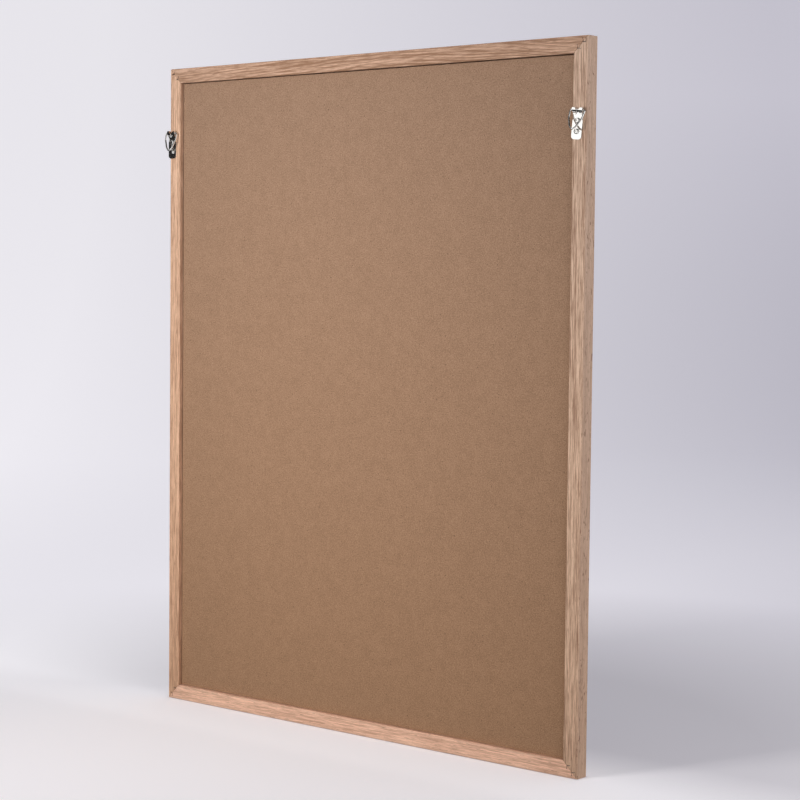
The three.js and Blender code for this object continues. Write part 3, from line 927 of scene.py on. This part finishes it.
def floor_painted_light(tree, spot):
    """What the floor and wall glow with, by place: bright at the photo's left, dim at its right."""
    parts = node(tree, "ShaderNodeSeparateXYZ", {0: spot}).outputs
    side = maths(tree, "MULTIPLY", parts["Y"], LEFT_IN_PHOTO[1])
    side = maths(tree, "MULTIPLY_ADD", parts["X"], LEFT_IN_PHOTO[0], side)
    # Near the board: painted shadow of the board on the floor behind it, away from the lit side, and
    # painted light on the lit floor.
    lit_behind = between(tree, parts["Y"], -0.12, 0.1)
    lit_left = between(tree, side, 0.1, 0.5)
    # A painted pool of light on the floor at the board's foot, on its lit side.
    at_foot = between(tree, parts["Y"], 0.13, 0.0)
    lit_glow = mixed(tree, at_foot, LIT_GLOW, FOOT_LIGHT_GLOW)
    near_glow = mixed(tree, maths(tree, "MAXIMUM", lit_behind, lit_left), BOARD_SHADOW_GLOW, lit_glow)
    # Far off, painted light and shade: bright on the lit side, dimmer on the other, where the board's
    # shadow falls, and dimmer low on the wall than high.
    up_wall = between(tree, parts["Z"], 0.02, 1.2)
    far_left = between(tree, side, -1.4, 1.1)
    far_glow = mixed(tree, far_left, mixed(tree, up_wall, LOW_GLOW, HIGH_GLOW), LEFT_GLOW)
    distance = node(tree, "ShaderNodeVectorMath", {0: spot}, operation="LENGTH").outputs["Value"]
    glow = mixed(tree, between(tree, distance, 0.45, 1.15), near_glow, far_glow)
    # A thin painted contact shadow: no glow right beside the board's faces and ends.
    beside_face = between(tree, maths(tree, "ABSOLUTE", parts["Y"]), 0.008, 0.012)
    beside_end = between(tree, maths(tree, "ABSOLUTE", parts["X"]), 0.303, 0.308)
    contact_shadow = maths(tree, "MAXIMUM", beside_face, beside_end)
    return mixed(tree, contact_shadow, (0, 0, 0, 1), glow)


def softbox(name, spot, aim, size, power, color, spread=180):
    light = bpy.data.lights.new(name, "AREA")
    light.shape = "RECTANGLE"
    light.size, light.size_y = size
    light.spread = math.radians(spread)
    light.energy = power
    light.color = color
    lamp = bpy.data.objects.new(name, light)
    bpy.context.scene.collection.objects.link(lamp)
    lamp.location = spot
    lamp.rotation_euler = (Vector(aim) - Vector(spot)).to_track_quat("-Z", "Y").to_euler()
    lamp.visible_glossy = False


studio()
softbox(
    "key softbox",
    spot=(0.4, 1.4, 0.66),
    aim=(0.07, 0.0, 0.44),
    size=(0.5, 1.0),
    power=4.15,
    color=(1.0, 0.99, 0.975),
    spread=74,
)
softbox(
    "side softbox",
    spot=(-2.3, 0.75, 0.85),
    aim=(-0.2, 0.0, 0.4),
    size=(1.5, 1.5),
    power=20.5,
    color=(1.0, 0.975, 0.975),
)

world = bpy.data.worlds.new("studio air")
bpy.context.scene.world = world
world.use_nodes = True
sky = world.node_tree
background = sky.nodes["Background"]
glossy = node(sky, "ShaderNodeLightPath").outputs["Is Glossy Ray"]
way = node(sky, "ShaderNodeSeparateXYZ", {0: node(sky, "ShaderNodeTexCoord").outputs["Generated"]}).outputs
air = mixed(sky, between(sky, way["Y"], 0.4, -0.4), AIR_BEHIND, AIR_IN_FRONT)


def patch(left, right, foot, top):
    """A soft-edged patch of the room, by the X and Z of the way to it."""
    wide = between(sky, way["X"], left + PATCH_EDGE, left)
    wide = maths(sky, "MULTIPLY", wide, between(sky, way["X"], right - PATCH_EDGE, right))
    high = between(sky, way["Z"], foot - PATCH_EDGE, foot)
    high = maths(sky, "MULTIPLY", high, between(sky, way["Z"], top + PATCH_EDGE, top))
    return maths(sky, "MULTIPLY", wide, high)


mirrored = 0.0
for edges in BRIGHT_PATCHES:
    mirrored = maths(sky, "MAXIMUM", mirrored, patch(*edges))
room = mixed(sky, mirrored, DARK_ROOM, BRIGHT)
room = mixed(sky, patch(*FLOOR_PATCH), room, MIRRORED_FLOOR)
air = mixed(sky, glossy, air, room)
sky.links.new(air, background.inputs["Color"])
background.inputs["Strength"].default_value = 1.0

camera_data = bpy.data.cameras.new("photo camera")
camera_data.sensor_width = 36
camera_data.lens = CAMERA_LENS
camera = bpy.data.objects.new("photo camera", camera_data)
bpy.context.scene.collection.objects.link(camera)
camera.location = CAMERA_SPOT
camera.rotation_euler = [math.radians(degrees) for degrees in CAMERA_DEGREES]
bpy.context.scene.camera = camera
bpy.context.scene.view_settings.view_transform = "Standard"
